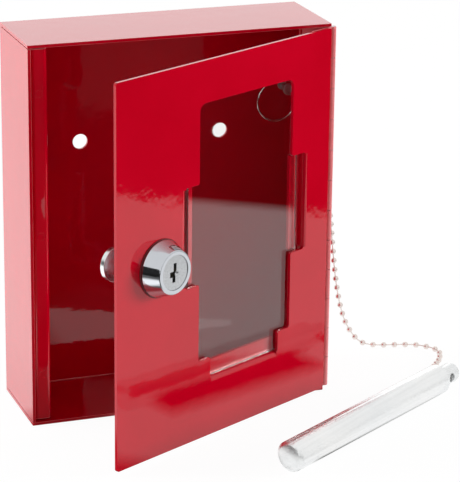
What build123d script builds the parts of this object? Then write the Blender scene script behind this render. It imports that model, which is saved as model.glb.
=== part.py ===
from build123d import *
import math
import os

# Break glass key box: a small sheet-steel wall box with a glazed, piano-hinged door,
# a cam lock, a key stud with a ring, and a breaker rod on a ball chain.
# Millimetres. X to the right, Y to the back, Z up; the origin is the centre of the base.
# The door hangs open by door_rest_deg, and every door piece is made shut and then turned.

# --- case ---
case_width = 120.0
case_height = 150.0
case_depth = 41.0
sheet = 1.2              # coated sheet steel of the case and the door
bend = 0.6               # inner radius of every fold
seam_gap = 0.3           # open seams between the end plates and the side walls
seam_stop = 2.6          # unslit length of each seam at the back fold

# --- folded strips inside the front ---
stop_width = 6.8         # face of the stop strip behind the door's free edge
stop_wall_leg = 11.0
stop_end_gap = 0.6
hinge_strip_width = 11.0
hinge_strip_leg = 5.0
wall_setback = 0.4       # right wall's front edge, behind the hinge strip's face

# --- wall screw holes ---
wall_hole_spacing = 57.0
wall_hole_radius = 3.0
wall_hole_drop = 50.0    # below the top of the case

# --- piano hinge ---
leaf = 0.6
leaf_gap = 0.1           # between the shut leaves
leaf_width = 12.3        # from the pin's axis to the leaf's free edge
pin_radius = 0.75
pin_clearance = 0.05
knuckle_count = 12
knuckle_gap = 0.25
knuckle_clearance = 0.15
hinge_overhang = 1.1     # pin axis outside the right wall

# --- door ---
door_rest_deg = 28.0
door_end_gap = 0.3       # above and below the door
door_side_gap = 0.4      # at the free edge
door_setback = 2.8       # from the door's hinge edge to the pin's axis
door_corner = 1.0
stop_clearance = 0.3     # door to stop strip when shut

# --- window: from the free edge and from the door's top ---
window_centre = 69.25
window_width = 51.8
window_top = 16.0
window_ledge = 115.6
window_top_radius = 3.0
cut_radius = 0.8
side_cut_width = 66.6
side_cut_top = 46.3
side_cut_height = 38.9
foot_cut_width = 38.6
foot_cut_depth = 8.3     # below the window's ledge

# --- glass and the flaps that hold it ---
glass_width = 61.0
glass_shift = -0.3       # pane's centre from the window's
glass_thickness = 2.0
glass_top = 12.0
glass_front_gap = 0.05
glass_back_gap = 0.25
glass_foot_gap = 0.3
glass_arris = 0.2
flap_lip = 6.0
flap_slit = 0.6          # slit at each end of a flap
flap_tail = 3.0          # stretch of door sheet that a flap's section takes over

# --- cam lock ---
lock_from_edge = 22.8
collar_height = 7.4
collar_base_radius = 11.0
collar_front_radius = 8.25
collar_edge = 0.5
barrel_radius = 8.0
barrel_flat = 7.0        # from the axis to each flat
barrel_end = 13.2        # behind the door's front
hole_clearance = 0.15
lock_washer_thickness = 0.4
lock_washer_overhang = 0.15
nut_flat = 11.0          # from the axis to each of the six flats
nut_thickness = 3.0
plug_head_radius = 6.6
plug_head_length = 3.2
plug_radius = 5.4
plug_recess = 0.25
plug_clearance = 0.07
keyway_width = 1.5
keyway_height = 7.2
keyway_step = 0.6        # the keyway's lower half stands this far to the left
keyway_depth = 14.0
ward_width = 1.2
ward_height = 2.1
ward_drop = 0.5
plug_dimple_radius = 1.15
plug_dimple_depth = 0.8
plug_dimple_side = 0.85  # right of the plug's axis
plug_dimple_drop = 0.4
wafer_count = 4
wafer_thickness = 0.8
wafer_pitch = 2.4
wafer_width = 4.8
wafer_first = 1.6        # behind the plug's head
wafer_clearance = 0.06
wafer_inset = 0.08
wafer_slot_width = 2.6
wafer_slot_height = 4.6
shank_square = 6.0
shank_clearance = 0.06
stop_washer_thickness = 1.1
stop_washer_radius = 7.4
stop_tab_width = 2.6
stop_tab_length = 1.5
stop_notch_depth = 1.9
stop_notch_inner = 5.9
cam_turn = 90.0
running_gap = 0.1

# --- cam ---
cam_thickness = 2.0
cam_hub_radius = 7.2
cam_side_reach = 14.8
cam_side_radius = 6.6
cam_latch_reach = 20.0
cam_latch_radius = 5.5
cam_catch_gap = 0.3      # cam to the stop strip's rear leg
cam_fillet = 2.5
screw_radius = 1.95
screw_clearance = 0.05
screw_length = 7.0
screw_head_radius = 3.75
screw_head_height = 2.4
screw_slot = 0.9
spring_washer_thickness = 1.0
spring_washer_radius = 3.7

# --- key stud and ring ---
stud_from_wall = 4.2     # from the right wall's inner face
stud_height = 116.6
stud_neck_radius = 0.8
stud_neck_length = 6.9
stud_head_radius = 2.35
stud_head_thickness = 1.2
stud_dimple_radius = 1.2
stud_dimple_depth = 0.7
stud_foot_radius = 1.9
stud_foot_thickness = 0.6
ring_radius = 8.0        # to the middle of the wire
ring_wire_radius = 0.45
ring_gap = 0.12          # ring to neck and to wall
ring_behind_head = 1.1

# --- breaker rod, lying on the floor ---
rod_radius = 6.0
rod_length = 101.5       # without the eye end
rod_face_x = 17.4
rod_face_y = -92.8
rod_azimuth = 32.9
rod_chamfer = 1.2
rod_shoulder_edge = 1.3
eye_radius = 4.0
eye_length = 10.6
eye_hole_radius = 1.8
eye_hole_from_shoulder = 4.1
eye_dome = 2.2

# --- ball chain ---
chain_radius = 1.2
anchor_y = -8.0
anchor_height = 122.0
rivet_radius = 1.5
rivet_clearance = 0.1
rivet_head_radius = 3.0
rivet_head_thickness = 1.2
rivet_tail_radius = 2.4
rivet_tail_thickness = 1.0
tab_thickness = 0.6
tab_radius = 2.8
coupling_radius = 1.9
coupling_length = 6.0
coupling_drop = 12.0     # from the rivet's axis to the coupling's mouth
coupling_stand = 0.15    # coupling to wall
eye_plug_radius = 1.7
eye_plug_reach = 4.2     # how far the plug goes into the eye's hole
eye_coupling_length = 4.3
# The chain's route, from the coupling on the case to the coupling behind the rod's eye.
chain_route = [
    (62.05, -8.0, 110.0),
    (62.05, -8.0, 99.0),
    (65.5, -3.6, 83.0),
    (71.9, 5.2, 64.5),
    (75.0, 9.3, 49.0),
    (77.6, 12.3, 35.9),
    (80.9, 15.2, 22.9),
    (84.9, 17.5, 12.1),
    (90.9, 18.5, 3.3),
    (96.6, 16.9, 1.2),
    (108.6, 14.1, 1.2),
    (115.8, 11.5, 1.2),
    (121.8, 3.4, 1.2),
    (118.2, -5.5, 1.2),
    (113.0, -12.6, 1.6),
    (107.6, -19.6, 2.7),
    (105.0, -26.4, 4.4),
]

# --- places worked out from the sizes ---
half_width = case_width / 2
front = -case_depth / 2
back = case_depth / 2
inner_left = -half_width + sheet
inner_right = half_width - sheet
inner_back = back - sheet
inner_top = case_height - sheet

door_back = front + sheet
door_leaf_back = door_back + leaf
pin_y = door_leaf_back + leaf_gap / 2
pin_x = half_width + hinge_overhang
box_leaf_front = door_leaf_back + leaf_gap
hinge_strip_face = box_leaf_front + leaf
barrel_hinge_radius = pin_radius + pin_clearance + leaf
stop_face = door_back + stop_clearance
stop_edge = inner_left + stop_width

door_left = inner_left + door_side_gap
door_right = pin_x - door_setback
door_width = door_right - door_left
door_bottom = sheet + door_end_gap
door_height = inner_top - door_end_gap - door_bottom
lock_height = door_height / 2

# window cuts, down from the door's top
side_cut_bottom = side_cut_top + side_cut_height
foot_cut_bottom = window_ledge + foot_cut_depth

# depths behind the door's front face
glass_front = sheet + glass_front_gap
lip_front = glass_front + glass_thickness + glass_back_gap
washer_front = barrel_end + running_gap
cam_front = washer_front + stop_washer_thickness
cam_back = cam_front + cam_thickness
screw_seat = cam_back + spring_washer_thickness

# the stop strip's rear leg ends just in front of the shut door's cam
stop_leg_end = front + cam_front - cam_catch_gap
wall_front = hinge_strip_face + wall_setback


def block(x_range, y_range, z_range):
    """A box between two limits on each axis."""
    spans = (x_range, y_range, z_range)
    sizes = [high - low for low, high in spans]
    middle = [(low + high) / 2 for low, high in spans]
    return Pos(*middle) * Box(*sizes)


def rod_along_y(radius, y_range):
    """A cylinder about the Y axis between two depths."""
    length = y_range[1] - y_range[0]
    return Pos(0, sum(y_range) / 2, 0) * Rot(90, 0, 0) * Cylinder(radius, length)


def folded_section(path, inner_radius=bend, thickness=sheet):
    """Section of folded sheet on XY: the path is one skin, with the sheet on its left."""
    skin = [Vector(x, y) for x, y in path]
    runs = [(b - a).normalized() for a, b in zip(skin, skin[1:])]
    lefts = [Vector(-run.Y, run.X) for run in runs]
    other = [skin[0] + lefts[0] * thickness]
    skin_radii = []
    other_radii = []
    for corner, before, after, run in zip(skin[1:-1], lefts, lefts[1:], runs):
        other.append(corner + (before + after) * (thickness / (1 + before.dot(after))))
        turns_left = run.dot(after) < 0
        skin_radii.append(inner_radius + (thickness if turns_left else 0))
        other_radii.append(inner_radius + (0 if turns_left else thickness))
    other.append(skin[-1] + lefts[-1] * thickness)
    outline = [
        FilletPolyline(*skin, radius=skin_radii),
        Line(skin[-1], other[-1]),
        FilletPolyline(*other, radius=other_radii),
        Line(other[0], skin[0]),
    ]
    return make_face([edge for part in outline for edge in part.edges()])


def turned(profile_points, rounded=()):
    """Solid of revolution about the Y axis; points are (radius, depth)."""
    face = make_face(Polyline(*profile_points, close=True).edges())
    for radius, picks in rounded:
        corners = [face.vertices().sort_by_distance((r, y, 0))[0] for r, y in picks]
        face = fillet(corners, radius)
    return revolve(face, Axis.Y)


def hang(piece):
    """Turn a piece made on the shut door to the door's place at rest."""
    return piece.rotate(Axis((pin_x, pin_y, 0), (0, 0, 1)), door_rest_deg)


def on_door(piece):
    """Place a piece given from the free edge, the front face and the door's foot."""
    return hang(Pos(door_left, front, door_bottom) * piece)


def on_lock(piece):
    """Place a piece made about the lock's axis."""
    return on_door(Pos(lock_from_edge, 0, lock_height) * piece)


# ---------------------------------------------------------------- case

def housing_shell():
    """Tray with folded back edges, open corner seams and two wall screw holes."""
    outside = block((-half_width, half_width), (front, back), (0, case_height))
    outside = fillet(outside.faces().sort_by(Axis.Y)[-1].edges(), bend + sheet)
    inside = block((inner_left, inner_right), (front - sheet, inner_back), (sheet, inner_top))
    inside = fillet(inside.faces().sort_by(Axis.Y)[-1].edges(), bend)
    shell = outside - inside
    seam_back = inner_back - seam_stop
    for low in (sheet, inner_top - seam_gap):
        for side in ((-half_width, inner_left), (inner_right, half_width)):
            shell -= block(side, (front, seam_back), (low, low + seam_gap))
    shell -= block((inner_right, half_width), (front, wall_front), (sheet, inner_top))
    hole = rod_along_y(wall_hole_radius, (inner_back - sheet, back + sheet))
    for side in (-1, 1):
        place = Pos(side * wall_hole_spacing / 2, 0, case_height - wall_hole_drop)
        shell -= place * hole
    rivet_hole = Rot(0, 90, 0) * Cylinder(rivet_radius + rivet_clearance, 4 * sheet)
    shell -= Pos(half_width, anchor_y, anchor_height) * rivet_hole
    corners = shell.edges().filter_by(Axis.Z).group_by(Axis.Y)[0]
    plate_corners = [edge for edge in corners if edge.length < 1.5 * sheet]
    return fillet(plate_corners, 0.4)


def stop_channel_left():
    """Stop strip: wall leg, face behind the door, and the rear leg that the cam catches."""
    section = folded_section([
        (inner_left, stop_face + stop_wall_leg),
        (inner_left, stop_face),
        (stop_edge, stop_face),
        (stop_edge, stop_leg_end),
    ])
    height = inner_top - sheet - 2 * stop_end_gap
    return Pos(0, 0, sheet + stop_end_gap) * extrude(section, height)


def hinge_channel_right():
    """Angle strip that carries the hinge leaf inside the right wall."""
    section = folded_section([
        (inner_right - hinge_strip_width, hinge_strip_face),
        (inner_right, hinge_strip_face),
        (inner_right, hinge_strip_face + hinge_strip_leg),
    ])
    height = inner_top - sheet - 2 * stop_end_gap
    return Pos(0, 0, sheet + stop_end_gap) * extrude(section, height)


# ---------------------------------------------------------------- hinge

def hinge_leaf(plate_y, own_parity):
    """One leaf: a plate and every second knuckle, cut back round the other leaf's."""
    pitch = door_height / knuckle_count
    axis_point = Pos(pin_x, pin_y, 0)
    leaf_part = block((pin_x - leaf_width, pin_x), plate_y, (door_bottom, door_bottom + door_height))
    for index in range(knuckle_count):
        low = door_bottom + index * pitch
        middle = Pos(0, 0, low + pitch / 2)
        if index % 2 == own_parity:
            leaf_part += axis_point * middle * Cylinder(barrel_hinge_radius, pitch - knuckle_gap)
        else:
            relief = Cylinder(barrel_hinge_radius + knuckle_clearance, pitch + knuckle_gap)
            leaf_part -= axis_point * middle * relief
    bore = Cylinder(pin_radius + pin_clearance, 3 * case_height)
    return leaf_part - axis_point * bore


def hinge_leaf_box():
    """Leaf spot-welded to the strip in the case."""
    return hinge_leaf((box_leaf_front, hinge_strip_face), 1)


def hinge_leaf_door():
    """Leaf spot-welded to the back of the door."""
    return hang(hinge_leaf((door_back, door_leaf_back), 0))


def hinge_pin():
    """Pin through all the knuckles."""
    pin = chamfer(Cylinder(pin_radius, door_height).edges(), 0.2)
    return Pos(pin_x, pin_y, door_bottom + door_height / 2) * pin


# ---------------------------------------------------------------- door

def flap(length):
    """Glass flap folded back from a cut edge and in behind the pane, centred on Z."""
    section = folded_section([
        (-flap_tail, 0),
        (0, 0),
        (0, lip_front),
        (flap_lip, lip_front),
    ])
    return Pos(0, 0, -length / 2) * extrude(section, length)


def window_face():
    """The stepped window, on the XY plane, from the free edge and the door's foot."""
    def rectangle(width, top, bottom):
        middle = door_height - (top + bottom) / 2
        return Pos(window_centre, middle) * Rectangle(width, bottom - top)

    shape = rectangle(window_width, window_top, window_ledge)
    shape += rectangle(side_cut_width, side_cut_top, side_cut_bottom)
    shape += rectangle(foot_cut_width, window_ledge - 2 * cut_radius, foot_cut_bottom)
    top_corners = shape.vertices().group_by(Axis.Y)[-1]
    shape = fillet(top_corners, window_top_radius)
    others = [v for v in shape.vertices() if v.Y < door_height - window_top - 2 * window_top_radius]
    return fillet(others, cut_radius)


def door_panel():
    """Flat door with the window, the lock hole and the three glass flaps."""
    face = Pos(door_width / 2, door_height / 2) * RectangleRounded(door_width, door_height, door_corner)
    face -= window_face()
    lock_hole = Circle(barrel_radius + hole_clearance)
    flats = 2 * (barrel_flat + hole_clearance)
    lock_hole &= Rectangle(flats, 4 * barrel_radius)
    face -= Pos(lock_from_edge, lock_height) * lock_hole
    panel = Rot(90, 0, 0) * extrude(face, -sheet)

    side_length = side_cut_bottom - side_cut_top - 2 * flap_slit
    side_middle = door_height - (side_cut_top + side_cut_bottom) / 2
    side_flap = Pos(-side_cut_width / 2, 0, side_middle) * flap(side_length)
    foot_length = foot_cut_width - 2 * flap_slit
    foot_edge = door_height - foot_cut_bottom
    foot_flap = Pos(0, 0, foot_edge) * Rot(0, -90, 0) * flap(foot_length)

    half_side = side_cut_width / 2
    side_span = (side_middle - side_length / 2, side_middle + side_length / 2)
    for side in (-1, 1):
        ends = sorted((side * half_side, side * (half_side + flap_tail)))
        gap = block(ends, (-sheet, 2 * sheet), side_span)
        panel -= Pos(window_centre, 0, 0) * gap
    foot_gap = block(
        (-foot_length / 2, foot_length / 2),
        (-sheet, 2 * sheet),
        (foot_edge - flap_tail, foot_edge),
    )
    panel -= Pos(window_centre, 0, 0) * foot_gap
    for piece in (side_flap, mirror(side_flap, Plane.YZ), foot_flap):
        panel += Pos(window_centre, 0, 0) * piece
    return on_door(panel)


def glass_pane():
    """Breakable pane behind the window, standing on the lower flap."""
    middle = window_centre + glass_shift
    pane = block(
        (middle - glass_width / 2, middle + glass_width / 2),
        (glass_front, glass_front + glass_thickness),
        (door_height - foot_cut_bottom + glass_foot_gap, door_height - glass_top),
    )
    long_edges = pane.faces().filter_by(Axis.Y).edges()
    return on_door(chamfer(long_edges, glass_arris))


# ---------------------------------------------------------------- lock

def barrel_section():
    """Round barrel with two flats, on XY."""
    return Circle(barrel_radius) & Rectangle(2 * barrel_flat, 4 * barrel_radius)


def along_depth(face, start, length):
    """Extrude a face drawn from the front towards the back, from a depth."""
    return Pos(0, start, 0) * (Rot(90, 0, 0) * extrude(face, -length))


def lock_body():
    """Conical collar and flatted barrel, bored for the plug, notched for the stop tab."""
    seat = -lock_washer_thickness
    face_depth = -collar_height
    collar = turned(
        [(0, seat), (collar_base_radius, seat), (collar_front_radius, face_depth), (0, face_depth)],
        rounded=[(collar_edge, [(collar_base_radius, seat), (collar_front_radius, face_depth)])],
    )
    body = collar + along_depth(barrel_section(), seat - sheet, barrel_end - seat + sheet)
    head_bore = rod_along_y(
        plug_head_radius + plug_clearance,
        (face_depth - sheet, face_depth + plug_recess + plug_head_length),
    )
    body -= head_bore
    body -= rod_along_y(plug_radius + plug_clearance, (face_depth, barrel_end + sheet))
    # notch for the stop washer's tab: the plug's turn, with the tab's own width added
    reach = 2 * barrel_radius
    tab_half = math.degrees(math.asin((stop_tab_width / 2 + running_gap) / stop_notch_inner))
    start = 180 + tab_half
    end = 180 - cam_turn - tab_half
    steps = [math.radians(angle) for angle in (start, (start + end) / 2, end)]
    rim = [(reach * math.cos(angle), reach * math.sin(angle)) for angle in steps]
    sector = make_face([
        Line((0, 0), rim[0]),
        ThreePointArc(*rim),
        Line(rim[2], (0, 0)),
    ])
    notch = sector - Circle(stop_notch_inner)
    body -= along_depth(notch, barrel_end - stop_notch_depth, stop_notch_depth + sheet)
    return on_lock(body)


def lock_washer():
    """Thin washer between the collar and the door."""
    outer = collar_base_radius + lock_washer_overhang
    ring = rod_along_y(outer, (-lock_washer_thickness, 0))
    hole = rod_along_y(barrel_radius + hole_clearance, (-1, 1))
    return on_lock(ring - hole)


def lock_nut():
    """Hex nut that clamps the lock against the back of the door."""
    corner_radius = nut_flat / math.cos(math.radians(30))
    outline = RegularPolygon(corner_radius, 6, rotation=30)
    ring = along_depth(outline - Circle(barrel_radius + running_gap), sheet, nut_thickness)
    cone = turned([
        (0, sheet - 1),
        (corner_radius + 1, sheet - 1),
        (corner_radius + 1, sheet + nut_thickness - 1.2),
        (nut_flat * 0.97, sheet + nut_thickness),
        (0, sheet + nut_thickness),
    ])
    return on_lock(ring & cone)


def wafer_depths():
    """Front face of each wafer, behind the door's front."""
    first = -collar_height + plug_recess + plug_head_length + wafer_first
    return [first + index * wafer_pitch for index in range(wafer_count)]


def keyway_section():
    """Stepped keyway on XY: two offset halves and a ward on the left."""
    half = keyway_height / 2
    upper = Pos(0, half / 2) * Rectangle(keyway_width, half)
    lower = Pos(-keyway_step, -half / 2) * Rectangle(keyway_width, half)
    middle = Pos(-keyway_step / 2, 0) * Rectangle(keyway_width + keyway_step, ward_height / 2)
    ward_middle = -keyway_step - (keyway_width + ward_width) / 2
    ward = Pos(ward_middle + ward_width / 4, -ward_drop) * Rectangle(1.5 * ward_width, ward_height)
    return upper + lower + middle + ward


def lock_plug():
    """Plug with its head, stepped keyway, wafer slots and square tail."""
    face_depth = -collar_height + plug_recess
    head_end = face_depth + plug_head_length - running_gap
    plug = rod_along_y(plug_head_radius, (face_depth, head_end))
    plug += rod_along_y(plug_radius, (face_depth, barrel_end))
    plug += along_depth(Rectangle(shank_square, shank_square), barrel_end, cam_back - barrel_end - 0.2)
    plug -= along_depth(keyway_section(), face_depth - 1, keyway_depth + 1)
    dimple = turned([
        (0, face_depth - 1),
        (plug_dimple_radius, face_depth - 1),
        (plug_dimple_radius, face_depth),
        (0, face_depth + plug_dimple_depth),
    ])
    plug -= Pos(plug_dimple_side, 0, -plug_dimple_drop) * dimple
    for depth in wafer_depths():
        plug -= block(
            (-wafer_width / 2 - wafer_clearance, wafer_width / 2 + wafer_clearance),
            (depth - wafer_clearance, depth + wafer_thickness + wafer_clearance),
            (-plug_head_radius, plug_head_radius),
        )
    plug -= rod_along_y(screw_radius + screw_clearance, (cam_back - screw_length - 1, cam_back + 1))
    return on_lock(plug)


def lock_wafers():
    """Wafers in their slots, level with the plug."""
    wafers = []
    section = Circle(plug_radius - wafer_inset) & Rectangle(wafer_width, 4 * plug_radius)
    section -= Rectangle(wafer_slot_width, wafer_slot_height)
    for depth in wafer_depths():
        wafers.append(on_lock(along_depth(section, depth, wafer_thickness)))
    return Compound(children=wafers)


def square_hole():
    """Section of the hole that fits the plug's square tail."""
    size = shank_square + 2 * shank_clearance
    return Rectangle(size, size)


def cam_stop_washer():
    """Washer on the square tail, with the tab that runs in the barrel's notch."""
    disc = along_depth(Circle(stop_washer_radius) - square_hole(), washer_front, stop_washer_thickness)
    tab = block(
        (-stop_washer_radius, -stop_notch_inner - running_gap),
        (washer_front - stop_tab_length, washer_front + stop_washer_thickness / 2),
        (-stop_tab_width / 2, stop_tab_width / 2),
    )
    return on_lock(disc + tab)


def cam_arm(reach, end_radius):
    """Straight-sided arm with a round end, from the hub along -X."""
    centre = reach - end_radius
    arm = Pos(-centre / 2, 0) * Rectangle(centre, 2 * end_radius)
    return arm + Pos(-centre, 0) * Circle(end_radius)


def lock_cam():
    """Cam with its short arm towards the free edge and its latch arm hanging down."""
    outline = Circle(cam_hub_radius) + cam_arm(cam_side_reach, cam_side_radius)
    outline += Rot(0, 0, 90) * cam_arm(cam_latch_reach, cam_latch_radius)
    plate = along_depth(outline - square_hole(), cam_front, cam_thickness)
    inner = [
        edge for edge in plate.edges().filter_by(Axis.Y)
        if -cam_hub_radius - 2 < edge.center().X < -cam_latch_radius + 1
        and -cam_hub_radius - 2 < edge.center().Z < -cam_side_radius + 1
    ]
    if inner:
        plate = fillet(inner, cam_fillet)
    return on_lock(plate)


def cam_washer():
    """Split spring washer under the screw's head."""
    ring = rod_along_y(spring_washer_radius, (cam_back, screw_seat))
    ring -= rod_along_y(screw_radius + screw_clearance, (cam_back - 1, screw_seat + 1))
    split = block((0, 2 * spring_washer_radius), (cam_back - 1, screw_seat + 1), (-0.3, 0.3))
    return on_lock(ring - Rot(0, 25, 0) * split)


def cam_screw():
    """Slotted pan-head screw in the plug's tail."""
    head = turned(
        [
            (0, screw_seat),
            (screw_head_radius, screw_seat),
            (screw_head_radius, screw_seat + screw_head_height),
            (0, screw_seat + screw_head_height),
        ],
        rounded=[(0.9, [(screw_head_radius, screw_seat + screw_head_height)])],
    )
    shank = rod_along_y(screw_radius, (screw_seat - screw_length, screw_seat))
    top = screw_seat + screw_head_height
    slot = block((-2 * screw_head_radius, 2 * screw_head_radius), (top - 1.1, top + 1), (-screw_slot / 2, screw_slot / 2))
    return on_lock(head + shank - slot)


# ---------------------------------------------------------------- key stud and ring

stud_x = inner_right - stud_from_wall
head_back = inner_back - stud_neck_length
head_front = head_back - stud_head_thickness


def key_stud():
    """Headed stud welded to the back panel."""
    profile = [
        (0, inner_back),
        (stud_foot_radius, inner_back),
        (stud_foot_radius, inner_back - stud_foot_thickness),
        (stud_neck_radius, inner_back - stud_foot_thickness),
        (stud_neck_radius, head_back),
        (stud_head_radius, head_back),
        (stud_head_radius, head_front),
        (stud_dimple_radius, head_front),
        (stud_dimple_radius, head_front + stud_dimple_depth),
        (0, head_front + stud_dimple_depth),
    ]
    stud = turned(profile, rounded=[(0.3, [(stud_head_radius, head_front)])])
    return Pos(stud_x, 0, stud_height) * stud


def key_ring():
    """Wire ring on the stud's neck, leaning against the right wall."""
    hang_distance = ring_radius - ring_wire_radius - stud_neck_radius - ring_gap
    wall_x = inner_right - ring_gap - ring_wire_radius - ring_radius
    offset = wall_x - stud_x
    drop = math.sqrt(hang_distance ** 2 - offset ** 2)
    ring = Rot(90, 0, 0) * Torus(ring_radius, ring_wire_radius)
    return Pos(wall_x, head_back + ring_behind_head, stud_height - drop) * ring


# ---------------------------------------------------------------- breaker rod and chain

def on_rod(piece):
    """Place a piece made along X from the rod's near face."""
    return Pos(rod_face_x, rod_face_y, rod_radius) * Rot(0, 0, rod_azimuth) * piece


def breaker_rod():
    """Round bar with a chamfered striking end and a turned-down eye end."""
    bar = Pos(rod_length / 2, 0, 0) * Rot(0, 90, 0) * Cylinder(rod_radius, rod_length)
    ends = bar.edges().filter_by(GeomType.CIRCLE).sort_by(Axis.X)
    bar = chamfer(ends[0], rod_chamfer)
    bar = fillet(bar.edges().filter_by(GeomType.CIRCLE).sort_by(Axis.X)[-1], rod_shoulder_edge)
    eye = Pos(rod_length + eye_length / 2, 0, 0) * Rot(0, 90, 0) * Cylinder(eye_radius, eye_length)
    eye = fillet(eye.edges().filter_by(GeomType.CIRCLE).sort_by(Axis.X)[-1], eye_dome)
    hole = Pos(rod_length + eye_hole_from_shoulder, 0, 0) * Rot(90, 0, 0) * Cylinder(eye_hole_radius, 4 * eye_radius)
    return on_rod(bar + eye - hole)


def chain_anchor_rivet():
    """Rivet through the right wall, with its head outside."""
    wall = half_width
    head_seat = wall + tab_thickness
    profile = [
        (0, inner_right - rivet_tail_thickness),
        (rivet_tail_radius, inner_right - rivet_tail_thickness),
        (rivet_tail_radius, inner_right),
        (rivet_radius, inner_right),
        (rivet_radius, head_seat),
        (rivet_head_radius, head_seat),
        (rivet_head_radius, head_seat + rivet_head_thickness),
        (0, head_seat + rivet_head_thickness),
    ]
    rivet = turned(
        profile,
        rounded=[
            (0.8, [(rivet_head_radius, head_seat + rivet_head_thickness)]),
            (0.4, [(rivet_tail_radius, inner_right - rivet_tail_thickness)]),
        ],
    )
    return Pos(0, anchor_y, anchor_height) * (Rot(0, 0, -90) * rivet)


def chain_anchor_coupling():
    """Tab under the rivet's head with a drawn cup that grips the chain's first bead."""
    cup_x = half_width + coupling_stand + coupling_radius
    eye = Pos(half_width + tab_thickness / 2, anchor_y, anchor_height) * Rot(0, 90, 0) * Cylinder(tab_radius, tab_thickness)
    cup_top = anchor_height - coupling_drop + coupling_length
    strap = block(
        (half_width, half_width + tab_thickness),
        (anchor_y - coupling_radius, anchor_y + coupling_radius),
        (cup_top - 1.5, anchor_height),
    )
    cup = Cylinder(coupling_radius, coupling_length)
    cup = fillet(cup.edges().sort_by(Axis.Z)[-1], 1.0)
    cup = Pos(cup_x, anchor_y, cup_top - coupling_length / 2) * cup
    coupling = eye + strap + cup
    hole = Rot(0, 90, 0) * Cylinder(rivet_radius + rivet_clearance / 2, 6 * tab_thickness)
    return coupling - Pos(half_width, anchor_y, anchor_height) * hole


def chain_radii(points):
    """Largest radius that each corner's two runs allow."""
    radii = []
    for before, corner, after in zip(points, points[1:], points[2:]):
        arriving = corner - before
        leaving = after - corner
        shorter = min(arriving.length, leaving.length)
        half_turn = math.radians(arriving.get_angle(leaving)) / 2
        radii.append(0.45 * shorter / math.tan(half_turn))
    return radii


def bead_chain():
    """Plain tube along the chain's route."""
    points = [Vector(*point) for point in chain_route]
    radii = chain_radii(points)
    path = FilletPolyline(*points, radius=radii)
    print("chain length", round(path.length, 1), "corner radii", [round(r, 1) for r in radii])
    start = points[1] - points[0]
    section = Plane(origin=points[0], z_dir=start) * Circle(chain_radius)
    return sweep(section, path=path)


def chain_rod_coupling():
    """Cup on the chain's end, with the plug that sits in the eye's hole."""
    mouth = Vector(*chain_route[-1])
    heading = (mouth - Vector(*chain_route[-2])).normalized()
    cup = Plane(origin=mouth, z_dir=heading) * extrude(Circle(coupling_radius), eye_coupling_length)
    hole_x = rod_length + eye_hole_from_shoulder
    inner_end = eye_radius - eye_plug_reach
    outer_end = eye_radius + coupling_radius
    plug = on_rod(Pos(hole_x, 0, 0) * rod_along_y(eye_plug_radius, (inner_end, outer_end)))
    return cup + plug


makers = [
    housing_shell,
    stop_channel_left,
    hinge_channel_right,
    hinge_leaf_box,
    hinge_leaf_door,
    hinge_pin,
    door_panel,
    glass_pane,
    lock_body,
    lock_washer,
    lock_nut,
    lock_plug,
    lock_wafers,
    cam_stop_washer,
    lock_cam,
    cam_washer,
    cam_screw,
    key_stud,
    key_ring,
    breaker_rod,
    chain_anchor_rivet,
    chain_anchor_coupling,
    bead_chain,
    chain_rod_coupling,
]

os.makedirs("parts", exist_ok=True)
for maker in makers:
    export_step(maker(), os.path.join("parts", maker.__name__ + ".step"))
    print("wrote", maker.__name__)
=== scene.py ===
import math

import bmesh
import bpy
from mathutils import Matrix, Vector


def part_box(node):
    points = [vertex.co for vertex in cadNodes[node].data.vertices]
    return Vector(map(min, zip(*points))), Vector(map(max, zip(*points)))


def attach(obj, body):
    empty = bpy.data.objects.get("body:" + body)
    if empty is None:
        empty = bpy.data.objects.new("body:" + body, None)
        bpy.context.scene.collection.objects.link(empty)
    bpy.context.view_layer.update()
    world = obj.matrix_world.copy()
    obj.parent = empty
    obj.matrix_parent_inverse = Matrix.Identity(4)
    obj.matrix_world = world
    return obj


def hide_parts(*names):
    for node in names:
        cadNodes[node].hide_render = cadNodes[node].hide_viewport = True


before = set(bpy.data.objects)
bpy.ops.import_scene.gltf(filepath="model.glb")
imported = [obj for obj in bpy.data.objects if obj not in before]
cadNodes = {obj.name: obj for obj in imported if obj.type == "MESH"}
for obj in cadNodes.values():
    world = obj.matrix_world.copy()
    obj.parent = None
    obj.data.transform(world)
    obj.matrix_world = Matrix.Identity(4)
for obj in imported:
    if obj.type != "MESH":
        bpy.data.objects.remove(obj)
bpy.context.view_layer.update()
mm = 0.001
mergeDistance = 0.0002 * mm
flatAngle = 0.4          # degrees: facets that meet more flatly than this become one face
print("frame loaded with", len(cadNodes), "nodes")


# the camera stands at the photograph's angle
photoCamera = {
    "place": (-0.28999, -0.86982, 0.36622),
    "turn": -20.033,      # degrees about Z
    "tilt": 18.327,       # degrees down
    "roll": 0.681,
    "lens": 184.11,
    "sensor": 36.0,
    "nearClip": 0.05,
}


def addCamera():
    bpy.ops.object.camera_add(location=photoCamera["place"])
    camera = bpy.context.object
    camera.name = "photoCamera"
    turn = Matrix.Rotation(math.radians(photoCamera["turn"]), 3, "Z")
    tilt = Matrix.Rotation(math.radians(90 - photoCamera["tilt"]), 3, "X")
    roll = Matrix.Rotation(math.radians(photoCamera["roll"]), 3, "Z")
    camera.rotation_euler = (turn @ tilt @ roll).to_euler()
    camera.data.sensor_width = photoCamera["sensor"]
    camera.data.lens = photoCamera["lens"]
    camera.data.clip_start = photoCamera["nearClip"]
    bpy.context.scene.camera = camera
    print("camera set")


# what every piece is made with

def deselectAll():
    bpy.ops.object.select_all(action="DESELECT")


def makeActive(obj):
    deselectAll()
    obj.select_set(True)
    bpy.context.view_layer.objects.active = obj


def settle(obj):
    # the place, turn and scale go into the mesh, so the object is left at the origin
    makeActive(obj)
    bpy.ops.object.transform_apply(location=True, rotation=True, scale=True)
    return obj


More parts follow.
